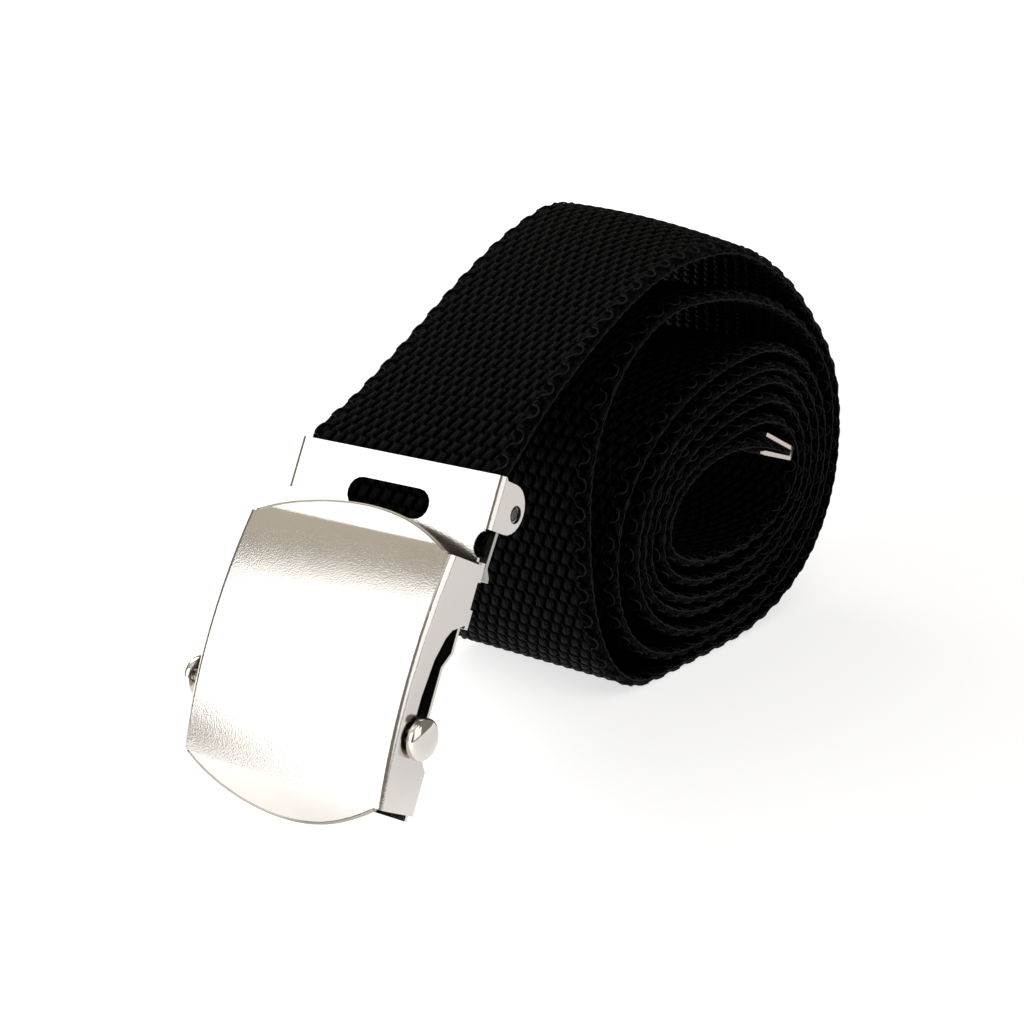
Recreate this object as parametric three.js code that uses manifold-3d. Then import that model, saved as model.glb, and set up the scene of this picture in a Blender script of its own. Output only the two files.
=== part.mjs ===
// A nylon web belt, rolled up, with a slide buckle of nickel plated sheet.
// Millimetres, +Z up. X runs across the webbing, the buckle stands in front at -Y
// and the roll lies behind it at +Y. The origin is under the middle of the whole belt.
import * as THREE from 'three';
import Module from 'manifold-3d';
import { mergeVertices } from 'three/addons/utils/BufferGeometryUtils.js';

const wasm = await Module();
wasm.setup();

// Driving dimensions of the webbing
const beltWidth = 38;
const beltThick = 1.5;
const selvageRound = 0.5; // how far the woven edge is rounded in from each side

// Driving dimensions of the buckle
const sheet = 0.6; // thickness of the pressed sheet
const clearance = 0.3; // gap between pieces that touch
const beltPlay = 0.55; // room beside the webbing between the buckle's walls
const buckleLean = 27.6; // degrees the buckle leans back from upright
const coverLength = 38.9; // length of the cover's side walls
const coverDepth = 7.4; // height of the cover's face above the plate at its ends
const coverBow = 2.1; // how much higher the face is at its middle
const wallFoot = 0.5; // how far the side walls reach behind the plate's face
const bendRadius = 1.2;
const topLip = 4.7; // how far the curved lips stand out past the side walls
const bottomLip = 5.5;
const lipInset = 1.6; // the lips are narrower than the cover on each side
const lipDrop = 3.2; // how far the lips curve back towards the plate

const headLength = 14; // how far the plate reaches past the top of the side walls
const tongueTail = 1.0; // how far the tongue sticks out below the side walls
const platformHeight = 1.6; // raised part of the tongue that the bar presses on
const platformFrom = 8;
const platformTo = 25;
const platformRamp = 2.5;
const slotWidth = 16;
const slotHeight = 4.9;
const slotDrop = 6.95; // middle of the slot below the plate's top edge
const notchRadius = 2.35;
const notchDrop = 10.8; // middle of the side notches below the plate's top edge

const earDepth = 7.7;
const earLength = 7.9;
const hingePinRadius = 1.15;
const hingeDrop = 5.6; // hinge pin below the plate's face
const leverLength = 11.2; // from the hinge pin to the finger end
const leverThick = 0.75;
const barrelWall = 0.65;

const barRadius = 1.2;
const barDrop = 4.2; // bar above the plate's face
const barAt = 11.5; // bar above the foot of the cover
const headRadius = 3.3;
const headDome = 2.2;
const headRim = 0.9; // straight part of the head beside the side wall
const headSpan = 42.9; // between the insides of the two heads
const barShift = -0.85; // how far the loose bar has slid over to the -X side
const guideLength = 22.8; // opening in each side wall that the bar slides along
const guideFrom = 6.8;
const guideDepth = 5.8;

const tabLength = 3;
const tabReach = 2.2;
const tabDrop = 1.1; // front of the crimp tabs behind the plate's face

const beltTuck = 12.6; // how far the fixed end of the webbing reaches down behind the plate

// Upper edge of the bar's opening, from its top end down: along is a share of guideLength
// from its foot, deep a share of guideDepth
const guideEdge = [
  { along: 0.94, deep: 0.45 },
  { along: 0.88, deep: 0.64 },
  { along: 0.72, deep: 0.88 },
  { along: 0.47, deep: 1 },
];

// Driving dimensions of the roll
const rollReach = 40;
const rollHigh = 75;
const slack = 10; // unit of the free gaps between the turns
const eyeBack = 31.4; // middle of the innermost turn behind and in front of the axis
const eyeFront = 11.1;
const eyeHigh = 19.8;
const footFlat = 9; // length of the outer turn that lies flat on the ground
const spanReach = 65.5; // from the plate's top edge to the crown of the roll
const rollYaw = 3.5; // degrees the roll is turned against the buckle
const turnGap = 0.5; // least free room between two turns
const turnStep = 10; // degrees of turn between two sections
const tailReach = 18; // how far the free end runs on past the last crown
const tailDrop = 4.3;

// Driving dimensions of the belt tip
const tipLength = 10.8;
const tipSheet = 0.8;
const tipMouth = 2.5; // inner opening at the mouth
const tipThroat = 1.05; // inner opening at the fold
const tipOverhang = 0.5; // how much wider than the webbing on each side
const tipGrip = 8.2; // length of webbing inside
const pinched = 0.5; // share of its thickness that the gripped webbing keeps

// One row for each turn, from the outside in. top, back, low and front say where the
// turn's four extremes lie: y as shares of rollReach, z as shares of rollHigh. The gaps
// are the free room to the next turn inside, as shares of slack. shoulder and full say
// how square the upper back and the lower half are, where 2 is an ellipse.
const turns = [
  { topY: 0.08, topGap: 0.77, shoulder: 1.7, backZ: 0.46, backGap: 0.1, full: 2.4,
    lowY: -0.21, lowGap: 0.065, frontZ: 0.49, frontGap: 0.65 },
  { topY: -0.15, topGap: 1.09, shoulder: 2, backZ: 0.47, backGap: 0.1, full: 2.3,
    lowY: -0.03, lowGap: 0.06, frontZ: 0.34, frontGap: 0.45 },
  { topY: 0.4, topGap: 0.21, shoulder: 2, backZ: 0.42, backGap: 0.1, full: 2.1,
    lowY: 0.16, lowGap: 0.25, frontZ: 0.325, frontGap: 0.05 },
  { topY: 0.425, topGap: 0.11, shoulder: 2, backZ: 0.42, backGap: 0.1, full: 2.1,
    lowY: 0.12, lowGap: 0.07, frontZ: 0.325, frontGap: 0.05 },
  { topY: 0.45, topGap: 0.2, shoulder: 2, backZ: 0.41, backGap: 0.09, full: 2.1,
    lowY: 0.16, lowGap: 0.15, frontZ: 0.33, frontGap: 0.21 },
  { topY: 0.46, topGap: 0.21, shoulder: 2, backZ: 0.4, backGap: 0.08, full: 2.1,
    lowY: 0.18, lowGap: 0.2, frontZ: 0.335, frontGap: 0.05 },
  { topY: 0.42, topGap: 0.18, shoulder: 2, backZ: 0.4, backGap: 0, full: 2.1,
    lowY: 0.22, lowGap: 0, frontZ: 0.345, frontGap: 0 },
];
const lastCrownY = 0.2;

// The stretch from the buckle to the crown of the roll. along and up are shares of the
// way from the plate's top edge to the crown, rise is how much higher the +X edge of the
// webbing lies than the other, as a share of the width.
const span = [
  { along: 0.05, up: 0.075, rise: 0.02 },
  { along: 0.15, up: 0.215, rise: 0.09 },
  { along: 0.36, up: 0.49, rise: 0.12 },
  { along: 0.61, up: 0.78, rise: 0.08 },
  { along: 0.81, up: 0.935, rise: 0.0 },
];
const crownRise = -0.086;

const nickel = new THREE.MeshStandardMaterial({ color: 0xc9c6c1, roughness: 0.32, metalness: 1 });
const darkNickel = new THREE.MeshStandardMaterial({ color: 0xa5a29e, roughness: 0.4, metalness: 1 });
const blackNylon = new THREE.MeshStandardMaterial({ color: 0x141416, roughness: 0.85, metalness: 0 });

// Sizes that follow from the driving ones
const halfBelt = beltWidth / 2;
const halfBuckle = halfBelt + beltPlay + sheet;
const halfInner = halfBuckle - sheet;
const halfTongue = halfInner - clearance;
const plateLength = coverLength + headLength;
const slotAt = plateLength - slotDrop;
const notchAt = plateLength - notchDrop;
const hingeAt = plateLength - earLength * 0.61;
const beltEndAt = plateLength - beltTuck;
const guideTo = guideFrom + guideLength;
const tabAt = [coverLength - tabLength * 0.35, guideTo + tabLength * 0.3];
const webMiddle = -sheet - clearance - beltThick / 2; // middle of the webbing behind the plate
const leverHalf = halfInner - clearance - 0.1;
const lean = buckleLean * THREE.MathUtils.DEG2RAD;
const yaw = rollYaw * THREE.MathUtils.DEG2RAD;

// Solids and meshes
function toSolid(geometry) {
  const bare = geometry.index ? geometry.toNonIndexed() : geometry.clone();
  bare.deleteAttribute('normal');
  bare.deleteAttribute('uv');
  const merged = mergeVertices(bare, 1e-5);
  return new wasm.Manifold(new wasm.Mesh({
    numProp: 3,
    vertProperties: new Float32Array(merged.attributes.position.array),
    triVerts: new Uint32Array(merged.index.array),
  }));
}

function toGeometry(solid) {
  const mesh = solid.getMesh();
  const geometry = new THREE.BufferGeometry();
  geometry.setAttribute('position', new THREE.BufferAttribute(new Float32Array(mesh.vertProperties), 3));
  geometry.setIndex(new THREE.BufferAttribute(new Uint32Array(mesh.triVerts), 1));
  return geometry;
}

function named(name, geometry, material) {
  const mesh = new THREE.Mesh(geometry, material);
  mesh.name = name;
  return mesh;
}

function outline(points) {
  return new THREE.Shape(points.map(([a, b]) => new THREE.Vector2(a, b)));
}

function arc(centre, radius, from, to, steps) {
  const points = [];
  for (let i = 0; i <= steps; i += 1) {
    const angle = (from + ((to - from) * i) / steps) * THREE.MathUtils.DEG2RAD;
    points.push([centre[0] + radius * Math.cos(angle), centre[1] + radius * Math.sin(angle)]);
  }
  return points;
}

// The buckle's own axes: u across it, v up along it, w out of its face.
// A shape in the v-w plane, drawn through the width from u0 to u1
function alongU(shape, u0, u1) {
  const geometry = new THREE.ExtrudeGeometry(shape, { depth: u1 - u0, bevelEnabled: false, curveSegments: 6 });
  const turn = new THREE.Matrix4().set(0, 0, 1, u0, 1, 0, 0, 0, 0, 1, 0, 0, 0, 0, 0, 1);
  return toSolid(geometry.applyMatrix4(turn));
}

// A shape in the u-w plane, drawn up from v0 to v1
function alongV(shape, v0, v1) {
  const geometry = new THREE.ExtrudeGeometry(shape, { depth: v1 - v0, bevelEnabled: false, curveSegments: 6 });
  const turn = new THREE.Matrix4().set(1, 0, 0, 0, 0, 0, -1, v1, 0, 1, 0, 0, 0, 0, 0, 1);
  return toSolid(geometry.applyMatrix4(turn));
}

// A shape in the u-v plane, drawn out from w0 to w1
function alongW(shape, w0, w1) {
  const geometry = new THREE.ExtrudeGeometry(shape, { depth: w1 - w0, bevelEnabled: false, curveSegments: 6 });
  return toSolid(geometry.translate(0, 0, w0));
}

// A skin through a row of sections with equally many corners, closed by a cap at each end
function loft(sections, cap) {
  const corners = sections[0].length;
  const points = sections.flat();
  const faces = [];
  for (let s = 0; s + 1 < sections.length; s += 1) {
    for (let c = 0; c < corners; c += 1) {
      const a = s * corners + c;
      const b = s * corners + ((c + 1) % corners);
      faces.push([a, b, a + corners], [b, b + corners, a + corners]);
    }
  }
  const last = (sections.length - 1) * corners;
  for (const [a, b, c] of cap) {
    faces.push([a, c, b], [last + a, last + b, last + c]);
  }
  let volume = 0;
  for (const [a, b, c] of faces) {
    volume += points[a].dot(new THREE.Vector3().crossVectors(points[b], points[c]));
  }
  const outward = volume < 0 ? faces.map(([a, b, c]) => [a, c, b]) : faces;
  const geometry = new THREE.BufferGeometry().setFromPoints(points);
  geometry.setIndex(outward.flat());
  return geometry;
}

function capOf(points) {
  return THREE.ShapeUtils.triangulateShape(points.map(([a, b]) => new THREE.Vector2(a, b)), []);
}

// Height of the cover's face above the plate, along its length and out over both lips
function faceHeight(v) {
  const half = coverLength / 2;
  const endSlope = (2 * coverBow) / half;
  if (v >= 0 && v <= coverLength) {
    return coverDepth + coverBow * (1 - ((v - half) / half) ** 2);
  }
  const past = v < 0 ? -v : v - coverLength;
  const reach = v < 0 ? bottomLip : topLip;
  return coverDepth - endSlope * past - (lipDrop - endSlope * reach) * (past / reach) ** 2;
}

function wallSection(v) {
  const top = faceHeight(v);
  const inner = bendRadius - sheet;
  const outside = [
    [halfBuckle, -wallFoot],
    ...arc([halfBuckle - bendRadius, top - bendRadius], bendRadius, 0, 90, 4),
    ...arc([bendRadius - halfBuckle, top - bendRadius], bendRadius, 90, 180, 4),
    [-halfBuckle, -wallFoot],
  ];
  const inside = [
    [-halfInner, -wallFoot],
    ...arc([bendRadius - halfBuckle, top - bendRadius], inner, 180, 90, 4),
    ...arc([halfBuckle - bendRadius, top - bendRadius], inner, 90, 0, 4),
    [halfInner, -wallFoot],
  ];
  return [...outside, ...inside];
}

function coverLip(end, reach) {
  const half = halfBuckle - lipInset;
  const sign = end === 0 ? -1 : 1;
  const root = 1.2;
  const tuck = 0.1; // keeps the lip's root inside the face
  const radius = (half * half + reach * reach) / (2 * reach);
  const sweep = Math.asin(half / radius) / THREE.MathUtils.DEG2RAD;
  const edge = arc([0, reach - radius], radius, 90 - sweep, 90 + sweep, 14);
  const plan = [[half, -root], ...edge, [-half, -root]].map(([u, t]) => [u * sign, end + sign * t]);
  const steps = 5;
  const upper = [];
  const lower = [];
  for (let i = 0; i <= steps; i += 1) {
    const v = end + (sign * (reach + 0.1) * i) / steps;
    upper.push([v, faceHeight(v)]);
    lower.unshift([v, faceHeight(v) - sheet]);
  }
  const rootV = end - sign * root;
  const rootTop = faceHeight(rootV) - tuck;
  const profile = [...upper, ...lower, [rootV, rootTop - sheet + 2 * tuck], [rootV, rootTop]];
  const ordered = sign > 0 ? profile.reverse() : profile;
  return alongU(outline(ordered), -halfBuckle, halfBuckle).intersect(alongW(outline(plan), -2, coverDepth + 2));
}

function makeCover() {
  const stations = 12;
  const sections = [];
  for (let i = 0; i <= stations; i += 1) {
    const v = (coverLength * i) / stations;
    sections.push(wallSection(v).map(([u, w]) => new THREE.Vector3(u, v, w)));
  }
  let cover = toSolid(loft(sections, capOf(wallSection(coverLength))));
  cover = cover.add(coverLip(coverLength, topLip)).add(coverLip(0, bottomLip));
  // The opening that the bar slides along, open towards the back of each side wall
  const seat = barAt - barRadius - clearance;
  const guide = outline([
    [guideFrom, -wallFoot - 1],
    [guideTo, -wallFoot - 1],
    [guideTo, -wallFoot],
    ...guideEdge.map((row) => [guideFrom + row.along * guideLength, row.deep * guideDepth]),
    [seat + 1.2, guideDepth],
    [seat + 0.3, guideDepth - 0.3],
    [seat, guideDepth - 1.1],
    [seat, barDrop - barRadius],
    [guideFrom, -wallFoot],
  ]);
  cover = cover.subtract(alongU(guide, -halfBuckle - 1, halfBuckle + 1));
  // Tabs crimped in behind the tongue, which hold the cover on the plate
  for (const at of tabAt) {
    for (const side of [-1, 1]) {
      const hook = [
        [halfBuckle, -wallFoot + 0.2],
        [halfInner, -wallFoot + 0.2],
        [halfInner, -tabDrop],
        [halfInner - tabReach, -tabDrop],
        [halfInner - tabReach, -tabDrop - sheet],
        [halfBuckle - 0.5, -tabDrop - sheet],
        [halfBuckle, -tabDrop - sheet + 0.5],
      ].map(([u, w]) => [u * side, w]);
      const ordered = side > 0 ? hook : hook.reverse();
      cover = cover.add(alongV(outline(ordered), at - tabLength / 2, at + tabLength / 2));
    }
  }
  return cover;
}

// The plate: a slotted head with two ears, and a tongue that runs down under the cover
function makeFramePlate() {
  const earTop = plateLength - 0.5;
  const headFoot = notchAt + notchRadius;
  const innerBend = bendRadius - sheet;
  const channel = [
    [halfBuckle, -earDepth - 1],
    ...arc([halfBuckle - bendRadius, -bendRadius], bendRadius, 0, 90, 3),
    ...arc([bendRadius - halfBuckle, -bendRadius], bendRadius, 90, 180, 3),
    [-halfBuckle, -earDepth - 1],
    [-halfInner, -earDepth - 1],
    ...arc([bendRadius - halfBuckle, -bendRadius], innerBend, 180, 90, 3),
    ...arc([halfBuckle - bendRadius, -bendRadius], innerBend, 90, 0, 3),
    [halfInner, -earDepth - 1],
  ];
  const earRadius = earLength / 2;
  const earMiddle = [earTop - earRadius, earRadius - earDepth];
  const earOutline = [
    [headFoot, 1],
    [headFoot, -bendRadius],
    ...arc(earMiddle, earRadius, 180, 360, 12),
    [earTop, -bendRadius],
    [plateLength, -bendRadius + 0.4],
    [plateLength, 1],
  ];
  const head = alongV(outline(channel), headFoot, plateLength)
    .intersect(alongU(outline(earOutline), -halfBuckle - 1, halfBuckle + 1));

  const front = [
    [-tongueTail, 0],
    [platformFrom, 0],
    [platformFrom + platformRamp, platformHeight],
    [platformTo - platformRamp, platformHeight],
    [platformTo, 0],
    [headFoot + 0.5, 0],
  ];
  const back = front.map(([v, w]) => [v, w - sheet]).reverse();
  const neck = halfBuckle - bendRadius;
  const plan = [
    [-halfTongue, -tongueTail],
    [halfTongue, -tongueTail],
    [halfTongue, notchAt],
    [neck, notchAt],
    [neck, headFoot + 0.5],
    [-neck, headFoot + 0.5],
    [-neck, notchAt],
    [-halfTongue, notchAt],
  ];
  const tongue = alongU(outline([...front, ...back].reverse()), -halfBuckle, halfBuckle)
    .intersect(alongW(outline(plan), -2, platformHeight + 1));
  let plate = head.add(tongue);

  const slotHalf = (slotWidth - slotHeight) / 2;
  const slot = outline([
    ...arc([slotHalf, slotAt], slotHeight / 2, -90, 90, 8),
    ...arc([-slotHalf, slotAt], slotHeight / 2, 90, 270, 8),
  ]);
  plate = plate.subtract(alongW(slot, -2, 1));
  for (const side of [-1, 1]) {
    const notch = outline(arc([side * halfBuckle, notchAt], notchRadius, 0, 345, 23));
    plate = plate.subtract(alongW(notch, -sheet - 0.6, 1));
  }
  const hole = outline(arc([hingeAt, -hingeDrop], hingePinRadius + clearance, 0, 345, 23));
  return plate.subtract(alongU(hole, -halfBuckle - 1, halfBuckle + 1));
}

function makeHingePin() {
  const half = halfBuckle - 0.25;
  const chamfer = 0.3;
  const profile = [
    [0, -half], [hingePinRadius - chamfer, -half], [hingePinRadius, chamfer - half],
    [hingePinRadius, half - chamfer], [hingePinRadius - chamfer, half], [0, half],
  ];
  const points = profile.map(([r, x]) => new THREE.Vector2(r, x));
  return toSolid(new THREE.LatheGeometry(points, 16).rotateZ(-Math.PI / 2).translate(0, hingeAt, -hingeDrop));
}

// The clamp: a barrel on the hinge pin, a ridge that bites the webbing and a flat arm
function makeClampLever() {
  const bore = hingePinRadius + clearance;
  const barrel = bore + barrelWall;
  const hinge = [hingeAt, -hingeDrop];
  const webBack = webMiddle - beltThick / 2;
  const ridge = webBack - clearance - 0.05;
  const armEnd = hingeAt - leverLength;
  const armFront = webBack - 0.75;
  const shape = outline([
    [hingeAt - 1.4, ridge],
    [hingeAt - 2.3, armFront - 0.1],
    [armEnd + 1.6, armFront + 0.3],
    [armEnd, armFront - 0.9],
    [armEnd - 0.1, armFront - 0.9 - leverThick],
    [armEnd + 0.6, armFront - 0.8 - leverThick],
    [armEnd + 2.0, armFront + 0.3 - leverThick],
    [hingeAt - 2.6, armFront - 0.1 - leverThick],
    ...arc(hinge, barrel, 158, 470, 16),
  ]);
  const hole = new THREE.Path(arc(hinge, bore, 345, 0, 23).map(([a, b]) => new THREE.Vector2(a, b)));
  shape.holes.push(hole);
  return alongU(shape, -leverHalf, leverHalf);
}

// The sliding bar with its two domed heads
function makeLockBar() {
  const inner = headSpan / 2;
  const dome = arc([0, 0], 1, 0, 90, 4).map(([c, s]) => [headRadius * c, inner + headRim + (headDome - headRim) * s]);
  const rim = [[headRadius - 0.2, inner], [headRadius, inner + 0.2]];
  const side = [[barRadius, 0], [barRadius, inner], ...rim, ...dome.slice(0, -1), [0, inner + headDome]];
  const mirrored = side.slice(1).map(([r, x]) => [r, -x]).reverse();
  const points = [...mirrored, ...side].map(([r, x]) => new THREE.Vector2(r, x));
  return toSolid(new THREE.LatheGeometry(points, 18).rotateZ(-Math.PI / 2).translate(barShift, barAt, barDrop));
}

// Where a point of the buckle's v-w plane stands in the belt's y-z plane, foot at z = 0
const lowestLip = bottomLip * Math.cos(lean) - (coverDepth - lipDrop - sheet) * Math.sin(lean);
function stand(v, w) {
  return [
    v * Math.sin(lean) - w * Math.cos(lean),
    v * Math.cos(lean) + w * Math.sin(lean) + lowestLip,
  ];
}

// The four extremes of every turn: its crown, its back, its foot and its front
function turnExtremes() {
  const rows = turns.map((turn) => ({ ...turn }));
  const last = rows.length - 1;
  rows.forEach((row, i) => {
    row.lowZ = i === 0 ? beltThick / 2 : rows[i - 1].lowZ + beltThick + slack * rows[i - 1].lowGap;
  });
  const lastTop = rows[last].lowZ + eyeHigh;
  for (let i = last; i >= 0; i -= 1) {
    const inner = rows[i + 1];
    rows[i].topZ = (inner ? inner.topZ : lastTop) + beltThick + slack * rows[i].topGap;
    rows[i].backY = inner ? inner.backY + beltThick + slack * rows[i].backGap : eyeBack;
    rows[i].frontY = inner ? inner.frontY - beltThick - slack * rows[i].frontGap : -eyeFront;
  }
  return { rows, lastTop };
}

// A quarter of a rounded turn from one extreme to the next, its end left out
function quarter(from, to, startsFlat, full, steps) {
  const points = [];
  for (let i = 0; i < steps; i += 1) {
    const angle = ((Math.PI / 2) * i) / steps;
    const s = Math.sin(angle) ** (2 / full);
    const c = Math.cos(angle) ** (2 / full);
    const y = startsFlat ? from.y + (to.y - from.y) * s : to.y + (from.y - to.y) * c;
    const z = startsFlat ? to.z + (from.z - to.z) * c : from.z + (to.z - from.z) * s;
    points.push({ y, z });
  }
  return points;
}

function distanceTo(point, from, to) {
  const way = new THREE.Vector2(to.y - from.y, to.z - from.z);
  const off = new THREE.Vector2(point.y - from.y, point.z - from.z);
  const share = THREE.MathUtils.clamp(off.dot(way) / way.lengthSq(), 0, 1);
  return off.sub(way.multiplyScalar(share)).length();
}

// Turns that would press into each other are pushed apart, from the inside out
function spread(route, crownIndex) {
  const almostRound = Math.round(250 / turnStep);
  for (let i = route.length - 1 - almostRound; i > crownIndex; i -= 1) {
    const point = route[i];
    const way = new THREE.Vector2(route[i + 1].y - route[i - 1].y, route[i + 1].z - route[i - 1].z);
    const out = new THREE.Vector2(-way.y, way.x).normalize();
    let nearest = Infinity;
    for (let j = i + almostRound; j + 1 < route.length; j += 1) {
      nearest = Math.min(nearest, distanceTo(point, route[j], route[j + 1]));
    }
    const tilt = 1.2 * Math.abs(point.rise * out.y) * halfBelt;
    const lacking = beltThick + turnGap + tilt - nearest;
    if (lacking > 0) {
      point.y += out.x * lacking;
      point.z += out.y * lacking;
    }
  }
}

function beltRoute() {
  const plateTop = stand(plateLength + 0.6, webMiddle);
  const crownY = plateTop[0] + spanReach;
  const axis = crownY - turns[0].topY * rollReach;
  const { rows, lastTop } = turnExtremes();
  const crown = { y: crownY, z: rows[0].topZ };

  const route = [];
  for (const v of [beltEndAt, (beltEndAt + plateLength) / 2, plateLength - 1]) {
    const [y, z] = stand(v, webMiddle);
    route.push({ y, z, blend: 0, rise: 0 });
  }
  const knots = [
    { along: 0, up: 0, rise: 0 },
    ...span,
    { along: 1, up: 1, rise: crownRise },
  ];
  const place = (knot) => new THREE.Vector3(
    plateTop[0] + knot.along * (crown.y - plateTop[0]),
    plateTop[1] + knot.up * (crown.z - plateTop[1]),
    knot.rise,
  );
  const lead = stand(plateLength - 1, webMiddle);
  const curve = new THREE.CatmullRomCurve3(
    [new THREE.Vector3(lead[0], lead[1], 0), ...knots.map(place),
      new THREE.Vector3(crown.y + 6, crown.z - 0.35, crownRise)],
    false,
    'centripetal',
  );
  const pieces = knots.length + 1;
  const finest = 5;
  for (let i = 1; i < knots.length; i += 1) {
    const steps = i < 3 ? finest : 4;
    for (let s = 0; s < steps; s += 1) {
      const point = curve.getPoint((i + s / steps) / pieces);
      const along = (point.x - plateTop[0]) / (crown.y - plateTop[0]);
      route.push({ y: point.x, z: point.y, blend: along, rise: point.z });
    }
  }

  const extreme = (y, z) => ({ y: axis + y, z });
  const crownIndex = route.length;
  const steps = Math.round(90 / turnStep);
  rows.forEach((row, i) => {
    const flat = i === 0 ? footFlat / 2 : 0;
    const top = extreme(row.topY * rollReach, row.topZ);
    const back = extreme(row.backY, row.backZ * rollHigh);
    const heel = extreme(row.lowY * rollReach + flat, row.lowZ);
    const toe = extreme(row.lowY * rollReach - flat, row.lowZ);
    const front = extreme(row.frontY, row.frontZ * rollHigh);
    const next = rows[i + 1];
    const nextTop = next
      ? extreme(next.topY * rollReach, next.topZ)
      : extreme(lastCrownY * rollReach, lastTop);
    const down = [
      ...quarter(top, back, true, row.shoulder, steps),
      ...quarter(back, heel, false, row.full, steps + 1),
    ];
    const up = [
      ...(flat > 0 ? [heel] : []),
      ...quarter(toe, front, true, row.full, steps + 1),
      ...quarter(front, nextTop, false, 2, steps),
    ];
    down.forEach((point, k) => {
      // The outer turn is still twisted over its crown and comes level at the ground
      const share = k / down.length;
      const fade = i === 0 ? (1 + 1.2 * Math.sin(Math.PI * share)) * (1 - share) : 0;
      route.push({ ...point, blend: 1, rise: crownRise * fade });
    });
    up.forEach((point) => route.push({ ...point, blend: 1, rise: 0 }));
  });
  const start = extreme(lastCrownY * rollReach, lastTop);
  const tailSteps = 5;
  for (let i = 0; i <= tailSteps; i += 1) {
    const share = i / tailSteps;
    route.push({
      y: start.y + tailReach * share,
      z: start.z - tailDrop * share * share,
      blend: 1,
      rise: 0,
    });
  }
  spread(route, crownIndex);
  return { route, axis };
}

// The place in the belt's frame of a point across the webbing
function turned(x, y, z, blend, axis) {
  const angle = yaw * blend;
  const ahead = (y - axis) * (1 - Math.cos(angle));
  const drift = blend < 1 ? (y - axis) * Math.sin(angle) * blend ** 3 : (y - axis) * Math.sin(angle);
  return new THREE.Vector3(x * Math.cos(angle) + drift, y - x * Math.sin(angle) - ahead, z);
}

function beltSection(thick) {
  const t = thick / 2;
  const r = selvageRound;
  return [
    [halfBelt - r, -t], [halfBelt, -t * 0.4], [halfBelt, t * 0.4], [halfBelt - r, t],
    [r - halfBelt, t], [-halfBelt, t * 0.4], [-halfBelt, -t * 0.4], [r - halfBelt, -t],
  ];
}

function makeWebbing({ route, axis }) {
  let travelled = 0;
  const reach = [0];
  for (let i = 1; i < route.length; i += 1) {
    travelled += Math.hypot(route[i].y - route[i - 1].y, route[i].z - route[i - 1].z);
    reach.push(travelled);
  }
  const sections = route.map((point, i) => {
    const before = route[Math.max(i - 1, 0)];
    const after = route[Math.min(i + 1, route.length - 1)];
    const way = new THREE.Vector2(after.y - before.y, after.z - before.z).normalize();
    const left = travelled - reach[i];
    const pinch = left < tipGrip ? pinched + (1 - pinched) * (left / tipGrip) : 1;
    return beltSection(beltThick * pinch).map(([x, n]) => {
      const y = point.y - n * way.y;
      const z = point.z + n * way.x + (x / beltWidth) * point.rise * beltWidth;
      return turned(x, y, z, point.blend, axis);
    });
  });
  return { solid: toSolid(loft(sections, capOf(beltSection(beltThick)))), travelled };
}

// The folded sheet on the free end of the webbing
function makeBeltTip({ route, axis }) {
  const end = route[route.length - 1];
  const before = route[route.length - 2];
  const way = new THREE.Vector2(end.y - before.y, end.z - before.z).normalize();
  const fold = tipLength - tipGrip;
  const mouth = -tipGrip;
  const half = (s) => (tipThroat + ((tipMouth - tipThroat) * (fold - s)) / tipLength) / 2;
  const section = [
    [mouth, half(mouth) + tipSheet],
    [mouth - 0.15, half(mouth) + tipSheet / 2],
    [mouth, half(mouth)],
    [fold - tipSheet, half(fold)],
    [fold - tipSheet, -half(fold)],
    [mouth + 1, -half(mouth + 1)],
    [mouth - 0.6, -half(mouth) - 0.35],
    [mouth - 0.7, -half(mouth) - tipSheet],
    [mouth + 0.8, -half(mouth) - tipSheet - 0.05],
    [fold - 0.35, -half(fold) - tipSheet],
    [fold, -half(fold) - tipSheet * 0.4],
    [fold, half(fold) + tipSheet * 0.4],
    [fold - 0.35, half(fold) + tipSheet],
  ];
  const wide = halfBelt + tipOverhang;
  const rings = [-wide, wide].map((x) => section.map(([s, n]) => turned(
    x,
    end.y + s * way.x - n * way.y,
    end.z + s * way.y + n * way.x,
    1,
    axis,
  )));
  return toSolid(loft(rings, capOf(section)));
}

const buckle = new THREE.Group();
buckle.add(named('frame_plate', toGeometry(makeFramePlate()), nickel));
buckle.add(named('buckle_cover', toGeometry(makeCover()), nickel));
buckle.add(named('lock_bar', toGeometry(makeLockBar()), nickel));
buckle.add(named('clamp_lever', toGeometry(makeClampLever()), darkNickel));
buckle.add(named('hinge_pin', toGeometry(makeHingePin()), darkNickel));
buckle.rotation.x = Math.PI / 2 - lean;
buckle.position.z = lowestLip;

const route = beltRoute();
const webbing = makeWebbing(route);
const belt = new THREE.Group();
belt.add(buckle);
belt.add(named('webbing', toGeometry(webbing.solid), blackNylon));
belt.add(named('belt_tip', toGeometry(makeBeltTip(route)), nickel));

// The origin goes under the middle of the belt's own box
const box = new THREE.Box3().setFromObject(belt, true);
belt.position.set(-(box.min.x + box.max.x) / 2, -(box.min.y + box.max.y) / 2, -box.min.z);

export default belt;
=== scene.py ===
# %% [markdown]
# # A rolled web belt with a slide buckle
# A strap of heavy black nylon webbing is rolled up behind its pressed metal buckle.
# The solids of every piece are already made and packed. This lesson dresses them: the
# strap gets its woven surface, the pressed sheet its rounded edges and plating, and the
# scene a floor, lights and a camera.
# We start by loading the solids, which stay fixed, and we list their names.

import math

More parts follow.
